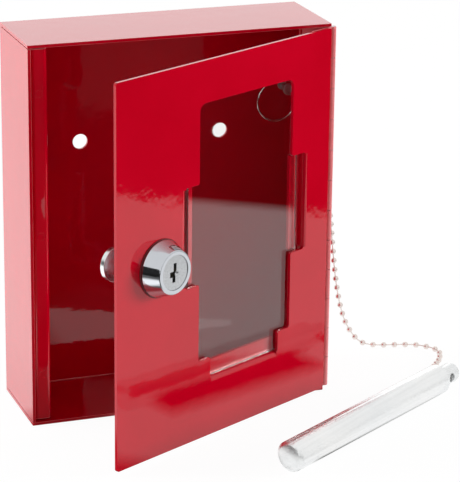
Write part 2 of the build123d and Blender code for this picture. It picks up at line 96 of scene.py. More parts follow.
def joinAll(bits, name):
    deselectAll()
    for bit in bits:
        bit.select_set(True)
    bpy.context.view_layer.objects.active = bits[0]
    bpy.ops.object.join()
    joined = bpy.context.object
    joined.name = name
    return joined


def smoothByAngle(obj, degrees):
    makeActive(obj)
    bpy.ops.object.shade_smooth_by_angle(angle=math.radians(degrees))
    return obj


def bevelEdges(obj, width, segments, degrees, slotIndex=-1):
    # the rounded edges take the material of the slot named, or else of the faces beside them
    bevel = obj.modifiers.new("edge", "BEVEL")
    bevel.width = width
    bevel.material = slotIndex
    bevel.segments = segments
    bevel.limit_method = "ANGLE"
    bevel.angle_limit = math.radians(degrees)
    bevel.use_clamp_overlap = True
    makeActive(obj)
    bpy.ops.object.modifier_apply(modifier=bevel.name)
    return obj


def flattenShading(obj, degrees):
    # smooth over the rounded edges, while the big flat faces keep their own normals
    smoothByAngle(obj, degrees)
    weigh = obj.modifiers.new("faces", "WEIGHTED_NORMAL")
    weigh.mode = "FACE_AREA"
    weigh.weight = 100
    weigh.keep_sharp = True
    makeActive(obj)
    bpy.ops.object.modifier_apply(modifier=weigh.name)
    return obj


def copyOfNode(nodeName, pieceName):
    # a merged copy of a CAD node's mesh, for edges and details that the node hasn't
    source = cadNodes[nodeName]
    copy = bpy.data.objects.new(pieceName, source.data.copy())
    bpy.context.scene.collection.objects.link(copy)
    copy.data.materials.clear()
    makeActive(copy)
    bpy.ops.object.mode_set(mode="EDIT")
    bpy.ops.mesh.select_all(action="SELECT")
    bpy.ops.mesh.remove_doubles(threshold=mergeDistance)
    bpy.ops.mesh.dissolve_limited(angle_limit=math.radians(flatAngle))
    bpy.ops.object.mode_set(mode="OBJECT")
    return copy


def dress(obj, *materials):
    obj.data.materials.clear()
    for material in materials:
        obj.data.materials.append(material)
    return obj


def finishPiece(obj, body, slot, *replaced):
    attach(obj, body)
    if replaced:
        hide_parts(*replaced)
    print("piece", obj.name, len(obj.data.polygons), "faces")
    return obj


# the ball chain comes first of the pieces, because the cord's room depends on it
ballChain = {
    "route": (            # x, y and z in mm, from the rivet to the rod's eye
        (62.05, -8.0, 110.0),
        (62.05, -8.0, 99.0),
        (65.5, -3.6, 83.0),
        (71.9, 5.2, 64.5),
        (75.0, 9.3, 49.0),
        (77.6, 12.3, 35.9),
        (80.9, 15.2, 22.9),
        (84.9, 17.5, 12.1),
        (90.9, 18.5, 3.3),
        (96.6, 16.9, 1.2),
        (108.6, 14.1, 1.2),
        (115.8, 11.5, 1.2),
        (121.8, 3.4, 1.2),
        (118.2, -5.5, 1.2),
        (113.0, -12.6, 1.6),
        (107.6, -19.6, 2.7),
        (105.0, -26.4, 4.4),
    ),
    "length": 0.186,
    "pitch": 4.55 * mm,
    "beadRadius": 1.2 * mm,
    "beadSides": 18,
    "beadRings": 12,
    "tip": 0.93,          # the bead's ends begin at this share of its radius
    "lip": 0.06,          # the lip round each hole, as a share of the radius
    "recess": 0.8,        # the hole's floor lies at this share of the height that it had
    "linkRadius": 0.3 * mm,
    "linkSides": 12,
    "linkStart": 0.83,    # where a link comes out of a bead, as a share of the bead's radius
    "waist": 0.82,        # the link's width in the middle, as a share of its width at the ends
    "waistReach": 0.3,    # the waist's reach to each side of the middle, as a share of the link
    "smooth": 50,         # degrees
}


def routePoints():
    # the cord's smooth line, read from a NURBS spline with the route as its control points
    curve = bpy.data.curves.new("chainRoute", "CURVE")
    curve.dimensions = "3D"
    curve.resolution_u = 24
    spline = curve.splines.new("NURBS")
    spline.points.add(len(ballChain["route"]) - 1)
    for point, place in zip(spline.points, ballChain["route"]):
        point.co = (place[0] * mm, place[1] * mm, place[2] * mm, 1)
    spline.order_u = 3
    spline.use_endpoint_u = True
    route = bpy.data.objects.new("chainRoute", curve)
    bpy.context.scene.collection.objects.link(route)
    graph = bpy.context.evaluated_depsgraph_get()
    line = bpy.data.meshes.new_from_object(route.evaluated_get(graph))
    points = [vertex.co.copy() for vertex in line.vertices]
    bpy.data.objects.remove(route)
    bpy.data.meshes.remove(line)
    return points


def alongRoute(points, distance):
    # place and direction at a distance from the route's start
    walked = 0.0
    for start, end in zip(points, points[1:]):
        step = (end - start).length
        if step > 0 and walked + step >= distance:
            share = (distance - walked) / step
            return start.lerp(end, share), (end - start).normalized()
        walked += step
    return points[-1].copy(), (points[-1] - points[-2]).normalized()


def makeBead():
    # a hollow-looking ball with a lip round the hole at each end
    radius = ballChain["beadRadius"]
    bpy.ops.mesh.primitive_uv_sphere_add(
        segments=ballChain["beadSides"], ring_count=ballChain["beadRings"], radius=radius)
    bead = bpy.context.object
    bead.name = "beadModel"
    bpy.ops.object.mode_set(mode="EDIT")
    bpy.ops.mesh.select_mode(type="FACE")
    bpy.ops.mesh.select_all(action="DESELECT")
    mesh = bmesh.from_edit_mesh(bead.data)
    for face in mesh.faces:
        if abs(face.calc_center_median().z) > radius * ballChain["tip"]:
            face.select = True
    mesh.select_flush_mode()
    bmesh.update_edit_mesh(bead.data)
    bpy.ops.mesh.inset(thickness=radius * ballChain["lip"])
    bpy.ops.mesh.extrude_region_move()
    mesh = bmesh.from_edit_mesh(bead.data)
    for vertex in mesh.verts:
        if vertex.select:
            vertex.co.z *= ballChain["recess"]
    bmesh.update_edit_mesh(bead.data)
    bpy.ops.mesh.select_mode(type="VERT")
    bpy.ops.object.mode_set(mode="OBJECT")
    return smoothByAngle(bead, ballChain["smooth"])


def makeLink():
    # the little wire between two beads, waisted in the middle
    reach = ballChain["pitch"] - 2 * ballChain["linkStart"] * ballChain["beadRadius"]
    bpy.ops.mesh.primitive_cylinder_add(
        vertices=ballChain["linkSides"], radius=ballChain["linkRadius"], depth=reach)
    link = bpy.context.object
    link.name = "linkModel"
    bpy.ops.object.mode_set(mode="EDIT")
    bpy.ops.mesh.select_mode(type="EDGE")
    bpy.ops.mesh.select_all(action="DESELECT")
    mesh = bmesh.from_edit_mesh(link.data)
    for edge in mesh.edges:
        if abs(edge.verts[0].co.z - edge.verts[1].co.z) > reach / 2:
            edge.select = True
    mesh.select_flush_mode()
    bmesh.update_edit_mesh(link.data)
    bpy.ops.mesh.subdivide(number_cuts=3)
    mesh = bmesh.from_edit_mesh(link.data)
    for vertex in mesh.verts:
        if abs(vertex.co.z) < reach * ballChain["waistReach"]:
            vertex.co.x *= ballChain["waist"]
            vertex.co.y *= ballChain["waist"]
    bmesh.update_edit_mesh(link.data)
    bpy.ops.mesh.select_mode(type="VERT")
    bpy.ops.object.mode_set(mode="OBJECT")
    return smoothByAngle(link, ballChain["smooth"])


def addChain(material):
    points = routePoints()
    pitch = ballChain["pitch"]
    total = sum((b - a).length for a, b in zip(points, points[1:]))
    count = int(total / pitch)
    spare = (total - (count - 1) * pitch) / 2
    bead, link = makeBead(), makeLink()
    made = []
    for index in range(count):
        distance = spare + index * pitch
        bits = [(bead, distance)]
        if index < count - 1:
            bits.append((link, distance + pitch / 2))
        for model, where in bits:
            place, heading = alongRoute(points, where)
            copy = bpy.data.objects.new("chainBit", model.data.copy())
            bpy.context.scene.collection.objects.link(copy)
            turn = heading.to_track_quat("Z", "X").to_matrix().to_4x4()
            copy.data.transform(Matrix.Translation(place) @ turn)
            made.append(copy)
    bpy.data.objects.remove(bead)
    bpy.data.objects.remove(link)
    chain = joinAll(made, "ballChain")
    dress(chain, material)
    finishPiece(chain, "root", "chain_nickel", "bead_chain")
    print("chain", count, "beads over", round(total, 4), "m")


# what every material is made with

def newMaterial(name, **sockets):
    material = bpy.data.materials.new(name)
    material.use_nodes = True
    shader = material.node_tree.nodes["Principled BSDF"]
    for socket, value in sockets.items():
        shader.inputs[socket.replace("_", " ")].default_value = value
    return material


def addNode(material, kind, place, **inputs):
    node = material.node_tree.nodes.new(kind)
    node.location = place
    for socket, value in inputs.items():
        node.inputs[socket.replace("_", " ")].default_value = value
    return node


def intoShader(material, output, socket):
    shader = material.node_tree.nodes["Principled BSDF"]
    material.node_tree.links.new(output, shader.inputs[socket])


def grey(value):
    return (value, value, value, 1)


def objectNoise(material, scale, detail, roughness, stretch=(1, 1, 1), place=(-900, 0)):
    coordinates = addNode(material, "ShaderNodeTexCoord", (place[0] - 400, place[1]))
    mapping = addNode(material, "ShaderNodeMapping", (place[0] - 200, place[1]), Scale=stretch)
    noise = addNode(material, "ShaderNodeTexNoise", place, Scale=scale, Detail=detail, Roughness=roughness)
    links = material.node_tree.links
    links.new(coordinates.outputs["Object"], mapping.inputs["Vector"])
    links.new(mapping.outputs["Vector"], noise.inputs["Vector"])
    return noise


def rampFrom(material, source, stops, place):
    ramp = addNode(material, "ShaderNodeValToRGB", place)
    elements = ramp.color_ramp.elements
    while len(elements) < len(stops):
        elements.new(0.5)
    for element, (position, colour) in zip(elements, stops):
        element.position = position
        element.color = colour
    material.node_tree.links.new(source, ramp.inputs["Fac"])
    return ramp


def mathNode(material, operation, place, first, second=None, factor=None):
    # first and second are outputs; factor stands in for the second as a number
    node = addNode(material, "ShaderNodeMath", place)
    node.operation = operation
    material.node_tree.links.new(first, node.inputs[0])
    if second is not None:
        material.node_tree.links.new(second, node.inputs[1])
    elif factor is not None:
        node.inputs[1].default_value = factor
    return node.outputs[0]


def rangeNode(material, source, place, low, high, toLow=0.0, toHigh=1.0):
    node = addNode(
        material, "ShaderNodeMapRange", place, From_Min=low, From_Max=high, To_Min=toLow, To_Max=toHigh)
    material.node_tree.links.new(source, node.inputs["Value"])
    return node.outputs["Result"]


def bumpFrom(material, sources, place=(-250, -350)):
    # each source is a height output with its strength and its depth in metres
    before = None
    for index, (height, strength, depth) in enumerate(sources):
        spot = (place[0] - 180 * index, place[1])
        bump = addNode(material, "ShaderNodeBump", spot, Strength=strength, Distance=depth)
        material.node_tree.links.new(height, bump.inputs["Height"])
        if before:
            material.node_tree.links.new(before.outputs["Normal"], bump.inputs["Normal"])
        before = bump
    intoShader(material, before.outputs["Normal"], "Normal")


redPaint = {
    "dark": (0.53, 0.0002, 0.012, 1),
    "light": (0.60, 0.0004, 0.016, 1),
    "roughness": (0.03, 0.06),
    "edgeHighlightDark": (0.74, 0.14, 0.15, 1),      # painted highlight: paler paint on the rounded edges and the hinge leaves stands in for the sheen they catch
    "edgeHighlightLight": (0.85, 0.28, 0.29, 1),
    "edgeRoughness": (0.22, 0.34),
    "index": 1.5,
    "cloudScale": 22.0,
    "peelScale": 480.0,                     # orange peel
    "peelStrength": 0.5,
    "peelDepth": 0.02 * mm,
    "sagScale": 170.0,                      # slower waves, where the powder ran as it cured
    "sagStrength": 0.6,
    "sagDepth": 0.08 * mm,
}


def paintMaterial(name, dark, light, roughness):
    material = newMaterial(name, IOR=redPaint["index"])
    cloud = objectNoise(material, redPaint["cloudScale"], detail=4.0, roughness=0.55, place=(-900, 300))
    colour = rampFrom(material, cloud.outputs["Fac"], [(0.3, dark), (0.7, light)], (-600, 300))
    intoShader(material, colour.outputs["Color"], "Base Color")
    low, high = roughness
    worn = rampFrom(material, cloud.outputs["Fac"], [(0.25, grey(low)), (0.75, grey(high))], (-600, 60))
    intoShader(material, worn.outputs["Color"], "Roughness")
    peel = objectNoise(material, redPaint["peelScale"], detail=2.0, roughness=0.4, place=(-900, -300))
    sag = objectNoise(material, redPaint["sagScale"], detail=2.0, roughness=0.5, place=(-900, -560))
    bumpFrom(material, [
        (peel.outputs["Fac"], redPaint["peelStrength"], redPaint["peelDepth"]),
        (sag.outputs["Fac"], redPaint["sagStrength"], redPaint["sagDepth"]),
    ])
    return material


# grain is how many grains lie in a metre, and roughness goes from the rubbed places to the dull ones
metalFinishes = {
    "chainNickel": {
        "colour": (0.80, 0.71, 0.67), "roughness": (0.28, 0.40), "grain": 900.0, "grainDepth": 0.004 * mm},
    "lockChrome": {
        "colour": (0.57, 0.59, 0.625), "roughness": (0.05, 0.10), "grain": 700.0, "grainDepth": 0.002 * mm,
        "tintSpread": 0.04},
    "satinChrome": {
        "colour": (0.64, 0.655, 0.67), "roughness": (0.26, 0.36), "grain": 9000.0, "grainDepth": 0.012 * mm,
        "tintSpread": 0.22},
    "zincPlate": {
        "colour": (0.78, 0.79, 0.80), "roughness": (0.16, 0.30), "grain": 500.0, "grainDepth": 0.006 * mm,
        "stretch": (1, 1, 6)},
    "waferBrass": {
        "colour": (0.78, 0.60, 0.30), "roughness": (0.25, 0.4), "grain": 900.0, "grainDepth": 0.004 * mm},
    "ringNickel": {
        "colour": (0.78, 0.77, 0.74), "roughness": (0.14, 0.26), "grain": 800.0, "grainDepth": 0.003 * mm},
    "studZinc": {
        "colour": (0.55, 0.55, 0.55), "roughness": (0.3, 0.45), "grain": 800.0, "grainDepth": 0.01 * mm},
    "hingeWire": {
        "colour": (0.6, 0.6, 0.62), "roughness": (0.3, 0.45), "grain": 600.0, "grainDepth": 0.01 * mm},
}
grainsPerCloud = 5        # how much wider the blotches are than the grain


def metalMaterial(name, colour, roughness, grain, grainDepth, stretch=(1, 1, 1), tintSpread=0.08):
    material = newMaterial(name, Metallic=1.0)
    cloud = objectNoise(
        material, grain / grainsPerCloud, detail=3.0, roughness=0.6, stretch=stretch, place=(-900, 300))
    darker = tuple(channel * (1 - tintSpread) for channel in colour)
    tint = rampFrom(material, cloud.outputs["Fac"], [(0.3, (*darker, 1)), (0.7, (*colour, 1))], (-600, 300))
    intoShader(material, tint.outputs["Color"], "Base Color")
    low, high = roughness
    rub = rampFrom(material, cloud.outputs["Fac"], [(0.25, grey(low)), (0.8, grey(high))], (-600, 60))
    intoShader(material, rub.outputs["Color"], "Roughness")
    fine = objectNoise(material, grain, detail=4.0, roughness=0.6, stretch=stretch, place=(-900, -300))
    bumpFrom(material, [(fine.outputs["Fac"], 0.5, grainDepth)])
    return material


rodZinc = {
    "tints": (
        (0.3, (0.80, 0.815, 0.825, 1)),
        (0.5, (0.85, 0.86, 0.86, 1)),
        (0.75, (0.89, 0.89, 0.88, 1)),
    ),
    "cloudScale": 30.0,
    "roughness": (0.32, 0.44),
    "streakLength": 1 / 14,       # metres
    "streakWidth": 1 / 520,
    "streakDark": 0.92,
    "fineScale": 1400.0,
    "fineDepth": 0.006 * mm,
    "pitScale": 300.0,
    "pitDepth": 0.05 * mm,
}


def rodMaterial():
    # nearly white zinc with streaks along the bar, dull blotches and small pits
    material = newMaterial("rodZinc", Metallic=1.0)
    nodes, links = material.node_tree.nodes, material.node_tree.links
    low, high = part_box("breaker_rod")
    lie = math.atan2(high.y - low.y, high.x - low.x)
    size = (rodZinc["streakLength"], rodZinc["streakWidth"], rodZinc["streakWidth"])
    streak = objectNoise(material, 1.0, detail=4.0, roughness=0.6, stretch=size, place=(-1100, 700))
    along = streak.inputs["Vector"].links[0].from_node
    along.vector_type = "TEXTURE"
    along.inputs["Rotation"].default_value = (0, 0, lie)
    cloud = objectNoise(material, rodZinc["cloudScale"], detail=5.0, roughness=0.6, place=(-1100, 400))
    tint = rampFrom(material, cloud.outputs["Fac"], rodZinc["tints"], (-700, 400))
    dark = grey(rodZinc["streakDark"])
    lines = rampFrom(material, streak.outputs["Fac"], [(0.35, dark), (0.6, grey(1.0))], (-700, 700))
    worn = nodes.new("ShaderNodeMix")
    worn.location = (-400, 500)
    worn.data_type = "RGBA"
    worn.blend_type = "MULTIPLY"
    worn.inputs["Factor"].default_value = 1.0
    links.new(tint.outputs["Color"], worn.inputs["A"])
    links.new(lines.outputs["Color"], worn.inputs["B"])
    intoShader(material, worn.outputs["Result"], "Base Color")
    smooth, dull = rodZinc["roughness"]
    rub = rampFrom(material, cloud.outputs["Fac"], [(0.3, grey(dull)), (0.7, grey(smooth))], (-700, 150))
    intoShader(material, rub.outputs["Color"], "Roughness")
    fine = objectNoise(material, rodZinc["fineScale"], detail=3.0, roughness=0.6, place=(-1100, -200))
    pits = objectNoise(material, rodZinc["pitScale"], detail=4.0, roughness=0.7, place=(-1100, -500))
    pitted = rampFrom(material, pits.outputs["Fac"], [(0.36, grey(0)), (0.44, grey(1))], (-800, -500))
    bumpFrom(material, [
        (fine.outputs["Fac"], 0.35, rodZinc["fineDepth"]),
        (pitted.outputs["Color"], 0.9, rodZinc["pitDepth"]),
    ])
    return material


paneGlass = {
    "clear": (0.995, 0.99, 0.985, 1),
    "softLight": (0.97, 0.97, 0.965, 1),    # how shadows and scattered light come through
    "index": 1.5,
    "smearScale": 70.0,
    "smearRoughness": 0.05,
    "groundEdge": ((0.60, 0.42, 0.41, 1), 0.85),     # colour and clearness
    "shadedEdge": ((0.25, 0.11, 0.115, 1), 0.2),     # the left edge lies deep in its channel
    "edgeRoughness": 0.25,
    "grainScale": 700.0,
    "grainDepth": 0.03 * mm,
    "narrowShare": 0.5,                     # a face under this share of the widest one is an edge
    "leftwards": -0.6,                      # and it is the left one if its normal's x is lower than this
}


def glassMaterial():
    material = newMaterial(
        "clearPane", Base_Color=paneGlass["clear"], Roughness=0.0, IOR=paneGlass["index"],
        Transmission_Weight=1.0)
    nodes, links = material.node_tree.nodes, material.node_tree.links
    path = addNode(material, "ShaderNodeLightPath", (-200, 400))
    through = addNode(material, "ShaderNodeBsdfTransparent", (0, 250), Color=paneGlass["softLight"])
    mix = addNode(material, "ShaderNodeMixShader", (300, 200))
    soft = mathNode(
        material, "MAXIMUM", (50, 400), path.outputs["Is Shadow Ray"], path.outputs["Is Diffuse Ray"])
    links.new(soft, mix.inputs["Fac"])
    links.new(nodes["Principled BSDF"].outputs["BSDF"], mix.inputs[1])
    links.new(through.outputs["BSDF"], mix.inputs[2])
    links.new(mix.outputs["Shader"], nodes["Material Output"].inputs["Surface"])
    smear = objectNoise(material, paneGlass["smearScale"], detail=4.0, roughness=0.6, place=(-900, -200))
    smeared = grey(paneGlass["smearRoughness"])
    wipe = rampFrom(material, smear.outputs["Fac"], [(0.45, grey(0.0)), (0.8, smeared)], (-600, -200))
    intoShader(material, wipe.outputs["Color"], "Roughness")
    return material


def groundGlassMaterial(name):
    # the pane's ground edges
    colour, clearness = paneGlass[name]
    material = newMaterial(
        name, Base_Color=colour, Roughness=paneGlass["edgeRoughness"], IOR=paneGlass["index"],
        Transmission_Weight=clearness)
    grain = objectNoise(
        material, paneGlass["grainScale"], detail=3.0, roughness=0.6, stretch=(1, 1, 0.2), place=(-900, -200))
    bumpFrom(material, [(grain.outputs["Fac"], 0.5, paneGlass["grainDepth"])])
    return material


dullFinishAndShade = {
    "colours": {
        "paintedShadeGap": (0.012, 0.012, 0.014, 1),     # painted shade: near-black for the shaded gap round the plug and the keyway's rim
        "washerFibre": (0.17, 0.022, 0.024, 1),
    },
    "roughness": (0.45, 0.65),
    "grainScale": 900.0,
    "grainDepth": 0.02 * mm,
}


def dullMaterial(name):
    material = newMaterial(name, Base_Color=dullFinishAndShade["colours"][name])
    grain = objectNoise(material, dullFinishAndShade["grainScale"], detail=3.0, roughness=0.6, place=(-900, -200))
    low, high = dullFinishAndShade["roughness"]
    rub = rampFrom(material, grain.outputs["Fac"], [(0.3, grey(low)), (0.7, grey(high))], (-600, -100))
    intoShader(material, rub.outputs["Color"], "Roughness")
    bumpFrom(material, [(grain.outputs["Fac"], 0.4, dullFinishAndShade["grainDepth"])])
    return material


# the red sheet steel: node, then piece, body and rounded edge in mm
sheetPieces = {
    "housing_shell": ("caseShell", "root", 0.32),
    "stop_channel_left": ("stopStrip", "root", 0.28),
    "hinge_channel_right": ("hingeStrip", "root", 0.28),
    "hinge_leaf_box": ("caseLeaf", "root", 0.12),
    "hinge_leaf_door": ("doorLeaf", "door", 0.12),
    "door_panel": ("doorSheet", "door", 0.32),
}


def addSheetPieces(paint, edgeHighlightPaint):
    for node, (name, body, width) in sheetPieces.items():
        piece = copyOfNode(node, name)
        # painted highlight: the hinge leaves and the rounded edges take the paler paint
        dress(piece, edgeHighlightPaint if node.startswith("hinge_leaf") else paint, edgeHighlightPaint)
        bevelEdges(piece, width * mm, segments=3, degrees=38, slotIndex=1)
        flattenShading(piece, degrees=60)
        finishPiece(piece, body, "red_paint", node)


weldDimple = {
    "spots": ((-55.3, 131.0), (-55.3, 75.5), (-55.3, 20.0)),   # on the stop strip's face, x and z in mm
    "radius": 1.5 * mm,
    "depth": 0.1 * mm,
    "sunk": 0.05 * mm,
}


def addWeldDimples(material):
    # shallow round marks that the spot welder leaves in the stop strip's face
    low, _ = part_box("stop_channel_left")
    rings = []
    for x, z in weldDimple["spots"]:
        bpy.ops.mesh.primitive_torus_add(
            major_radius=weldDimple["radius"], minor_radius=weldDimple["depth"],
            major_segments=28, minor_segments=10,
            location=(x * mm, low.y + weldDimple["sunk"], z * mm), rotation=(math.pi / 2, 0, 0))
        rings.append(bpy.context.object)
    dimples = settle(joinAll(rings, "weldDimples"))
    smoothByAngle(dimples, degrees=60)
    dress(dimples, material)
    finishPiece(dimples, "root", "red_paint")


# the cam lock: node, then piece, body, slot, finish and rounded edge in mm
lockPieces = {
    "lock_nut": ("clampNut", "door", "zinc_plate", "zincPlate", 0.15),
    "cam_stop_washer": ("stopWasher", "lock", "zinc_plate", "zincPlate", 0.08),
    "lock_cam": ("camPlate", "lock", "zinc_plate", "zincPlate", 0.2),
    "cam_washer": ("springWasher", "lock", "zinc_plate", "zincPlate", 0.08),
    "cam_screw": ("camScrew", "lock", "zinc_plate", "zincPlate", 0.08),
    "lock_wafers": ("waferStack", "lock", "wafer_brass", "waferBrass", 0.05),
    "lock_washer": ("fibreWasher", "door", "black_washer", "washerFibre", 0.06),
}
collarEdge = 0.12 * mm
plugRim = 0.26 * mm       # painted shade: near-black rims round the plug and the keyway stand in for the shade in the gap


def addLock(finishesAndShade):
    collar = copyOfNode("lock_body", "lockCollar")
    bevelEdges(collar, collarEdge, segments=2, degrees=50)
    flattenShading(collar, degrees=40)
    dress(collar, finishesAndShade["lockChrome"])
    finishPiece(collar, "door", "lock_chrome", "lock_body")
    plug = copyOfNode("lock_plug", "lockPlug")
    # painted shade: the plug's rounded rims take the near-black gap material
    dress(plug, finishesAndShade["satinChrome"], finishesAndShade["paintedShadeGap"])
    bevelEdges(plug, plugRim, segments=2, degrees=50, slotIndex=1)
    flattenShading(plug, degrees=40)
    finishPiece(plug, "lock", "lock_chrome", "lock_plug")
    for node, (name, body, slot, finish, width) in lockPieces.items():
        piece = copyOfNode(node, name)
        bevelEdges(piece, width * mm, segments=2, degrees=45)
        flattenShading(piece, degrees=40)
        dress(piece, finishesAndShade[finish])
        finishPiece(piece, body, slot, node)


# stud, ring, rod, rivet and hinge wire, in the same order
smallPieces = {
    "key_stud": ("keyStud", "root", "zinc_plate", "studZinc", 0.08),
    "key_ring": ("keyRing", "ring", "ring_nickel", "ringNickel", 0.0),
    "breaker_rod": ("breakerRod", "root", "rod_zinc", "rodZinc", 0.15),
    "chain_anchor_rivet": ("anchorRivet", "root", "zinc_plate", "studZinc", 0.06),
    "hinge_pin": ("hingeWire", "root", "hinge_steel", "hingeWire", 0.0),
}


def addSmallMetal(finishesAndShade):
    for node, (name, body, slot, finish, width) in smallPieces.items():
        piece = copyOfNode(node, name)
        if width:
            bevelEdges(piece, width * mm, segments=2, degrees=45)
        smoothByAngle(piece, degrees=35)
        dress(piece, finishesAndShade[finish])
        finishPiece(piece, body, slot, node)
    for node in ("chain_anchor_coupling", "chain_rod_coupling"):
        dress(cadNodes[node], finishesAndShade["chainNickel"])


def addPane():
    # the two big faces are clear, and the narrow sides and arrises are ground
    pane = copyOfNode("glass_pane", "glassPane")
    dress(pane, glassMaterial(), groundGlassMaterial("groundEdge"), groundGlassMaterial("shadedEdge"))
    narrow = paneGlass["narrowShare"] * max(face.area for face in pane.data.polygons)
    for face in pane.data.polygons:
        if face.area < narrow:
            face.material_index = 1 if face.normal.x > paneGlass["leftwards"] else 2
    smoothByAngle(pane, degrees=20)
    finishPiece(pane, "pane", "pane_glass", "glass_pane")


# the studio: how bright the surroundings are for each kind of ray, where 1 is white
studioGlow = {
    "scattered": 0.29,
    "mirrored": 1.0,
    "paper": 1.03,        # what the eye sees
    "hole": 1.25,         # what shows through the pane and the wall holes
}

paleFloor = {
    "size": 6.0,
    "drop": 0.2 * mm,     # below the part's lowest face
    "colour": grey(0.86),
    "paperShare": 0.93,   # how far the eye sees plain paper, and not the shadows
}

# how bright the floor is in mirror images; a fade goes from its first place to its second
mirrorFloor = {
    "left": 1.5,                       # left of the case
    "near": 1.1,                       # in front of the door
    "past": 0.008,                     # past the pale table's right end
    "behind": 0.9,                     # behind the case
    "corner": 0.12,                    # in the dim corner and band that the stop strip mirrors
    "farWindow": 0.12,                 # far in front, as the window lets it be seen
    "farOpen": 0.1,                    # far in front, past the door's edges
    "across": (-0.2, 0.4),             # the stretch of x that left, near and past divide
    "leftFade": (0.20, 0.27),          # shares of that stretch
    "tableEnd": 0.289,
    "tableEndFade": 0.012,             # a share of that stretch, to each side
    "behindFade": (0.1, 0.2),
    "cornerFrontFade": (-0.15, -0.12),
    "cornerRightFade": (0.05, 0.10),
    "stripBackFade": (-0.02, 0.0),
    "stripRightFade": (-0.035, -0.02),
    "stripLeftFade": (-0.07, -0.09),
    "slant": 0.28,                     # the last three run slantwise, on y + slant * x
    "windowFade": (-0.10, -0.075),
    "farWindowFade": (-0.36, -0.33),
    "farOpenFade": (-0.27, -0.24),
}

# the dark band beside the rod, in the door's mirror image, as distances from the rod's ends and axis
rodBand = {
    "endFade": (24 * mm, 14 * mm),
    "doorSideFade": (9 * mm, 22 * mm),
    "frontSideFade": (-2 * mm, -6 * mm),
}

# the top plate and the left wall mirror the backdrop, and the lock's collar the dark card
cards = {
    "whiteBackdrop": {"place": (0.43, 1.3, 0.6), "turn": (90, 0, 0), "size": (1.0, 0.6), "glow": 1.7},
    "darkCard": {"place": (-0.75, -0.35, 0.14), "turn": (0, 90, 0), "size": (0.32, 1.2), "glow": 0.03},
}

softLamps = {
    "sideLeft": {"place": (-1.4, 0.35, 0.5), "size": 0.7, "power": 16.0},
    "sideRight": {"place": (1.8, -0.5, 0.45), "size": 0.7, "power": 28.0},
    "topBack": {"place": (-0.2, 0.5, 1.5), "size": 0.9, "power": 4.0},
}
lampAim = (0, 0, 0.08)


def eyeSwitch(material):
    # 1 for what the eye sees, also through the pane
    path = addNode(material, "ShaderNodeLightPath", (-900, 500))
    return mathNode(
        material, "MAXIMUM", (-700, 500), path.outputs["Is Camera Ray"], path.outputs["Is Transmission Ray"])


def mirrorSwitch(material):
    # 1 for mirror rays; a look straight through the pane is glossy too, but has bounced off nothing yet
    path = addNode(material, "ShaderNodeLightPath", (-700, -700))
    bounced = mathNode(material, "MINIMUM", (-500, -700), path.outputs["Glossy Depth"], factor=1.0)
    return mathNode(material, "MULTIPLY", (-300, -700), path.outputs["Is Glossy Ray"], bounced)


def glowMaterial(name, strength):
    # an even glow for mirror rays, and nothing for the others
    material = bpy.data.materials.new(name)
    material.use_nodes = True
    nodes, links = material.node_tree.nodes, material.node_tree.links
    nodes.remove(nodes["Principled BSDF"])
    glow = addNode(material, "ShaderNodeEmission", (0, 0), Color=grey(1), Strength=strength)
    clear = addNode(material, "ShaderNodeBsdfTransparent", (0, 200))
    mix = addNode(material, "ShaderNodeMixShader", (200, 100))
    links.new(mirrorSwitch(material), mix.inputs["Fac"])
    links.new(clear.outputs["BSDF"], mix.inputs[1])
    links.new(glow.outputs["Emission"], mix.inputs[2])
    links.new(mix.outputs["Shader"], nodes["Material Output"].inputs["Surface"])
    return material


def rodShade(material, coordinates):
    # 0 beside the breaker rod, where the door mirrors a dark floor, rising to 1 away from it
    links = material.node_tree.links
    low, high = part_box("breaker_rod")
    middle = (low + high) / 2
    half = math.hypot(high.x - low.x, high.y - low.y) / 2
    turned = addNode(
        material, "ShaderNodeMapping", (-1400, -900), Location=(middle.x, middle.y, 0),
        Rotation=(0, 0, math.atan2(high.y - low.y, high.x - low.x)))
    turned.vector_type = "TEXTURE"
    links.new(coordinates.outputs["Object"], turned.inputs["Vector"])
    split = addNode(material, "ShaderNodeSeparateXYZ", (-1200, -900))
    links.new(turned.outputs["Vector"], split.inputs["Vector"])
    along = mathNode(material, "ABSOLUTE", (-1000, -820), split.outputs["X"])
    inner, outer = rodBand["endFade"]
    pastEnd = rangeNode(material, along, (-800, -820), half - inner, half - outer)
    behind = rangeNode(material, split.outputs["Y"], (-800, -980), *rodBand["doorSideFade"])
    before = rangeNode(material, split.outputs["Y"], (-800, -1140), *rodBand["frontSideFade"])
    beside = mathNode(material, "MAXIMUM", (-650, -1000), behind, before)
    return mathNode(material, "MAXIMUM", (-500, -900), pastEnd, beside)


def fadeNode(material, source, name, row, first=0.0, last=1.0):
    # goes from first to last over the stretch that the named fade gives
    return rangeNode(material, source, (-1000, row), *mirrorFloor[name + "Fade"], first, last)


def acrossTable(material, x, y):
    # bright on the table, brighter left of the case, and dark past the table's end
    low, high = mirrorFloor["across"]
    end = (mirrorFloor["tableEnd"] - low) / (high - low)
    fade = mirrorFloor["tableEndFade"]
    leftEnd, nearStart = mirrorFloor["leftFade"]
    stops = [
        (leftEnd, grey(mirrorFloor["left"])),
        (nearStart, grey(mirrorFloor["near"])),
        (end - fade, grey(mirrorFloor["near"])),
        (end + fade, grey(mirrorFloor["past"])),
    ]
    ramp = rampFrom(material, rangeNode(material, x, (-1200, -200), low, high), stops, (-1000, -200))
    behind = fadeNode(material, y, "behind", -350, 0, mirrorFloor["behind"])
    return mathNode(material, "MAXIMUM", (-750, -250), ramp.outputs["Color"], behind)


